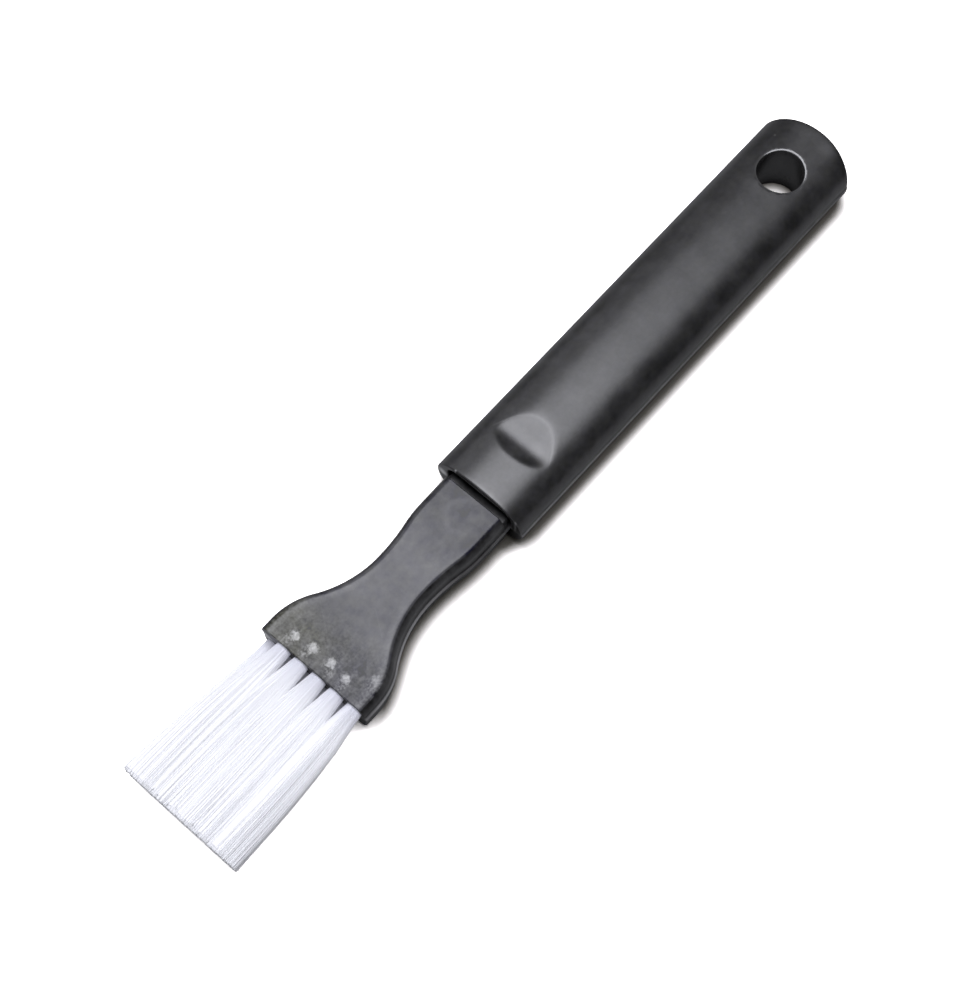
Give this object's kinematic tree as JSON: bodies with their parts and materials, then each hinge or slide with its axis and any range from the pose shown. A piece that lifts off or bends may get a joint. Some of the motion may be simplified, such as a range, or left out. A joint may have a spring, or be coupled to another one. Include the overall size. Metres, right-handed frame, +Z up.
{
  "type": "grill brush",
  "caption": "Flat black brush head with white fanned bristle tufts, its tang fixed in a hollow oval handle with a thumb notch and a hanging hole.",
  "frame": {"origin": "under the middle of the brush's bounding box, on the surface that the handle's belly rests on", "axes": "+X runs from the handle's hanging end to the bristle tips, +Z is up, out of the side with the thumb notch"},
  "size_m": [0.1998, 0.0298, 0.014],
  "materials": {
    "satin_black_plastic": "satin black moulded plastic",
    "gloss_black_plastic": "half-gloss black moulded plastic",
    "white_nylon": "white nylon filament",
    "bright_steel": "bright strip"
  },
  "bodies": {
    "root": {"handle": "satin_black_plastic", "brush_head": "gloss_black_plastic", "tuft_upper_1": "white_nylon", "tuft_upper_2": "white_nylon", "tuft_upper_3": "white_nylon", "tuft_upper_4": "white_nylon", "tuft_upper_5": "white_nylon", "tuft_lower_1": "white_nylon", "tuft_lower_2": "white_nylon", "tuft_lower_3": "white_nylon", "tuft_lower_4": "white_nylon", "tuft_lower_5": "white_nylon", "anchor_upper_1": "bright_steel", "anchor_upper_2": "bright_steel", "anchor_upper_3": "bright_steel", "anchor_upper_4": "bright_steel", "anchor_upper_5": "bright_steel", "anchor_lower_1": "bright_steel", "anchor_lower_2": "bright_steel", "anchor_lower_3": "bright_steel", "anchor_lower_4": "bright_steel", "anchor_lower_5": "bright_steel"}
  },
  "joints": []
}
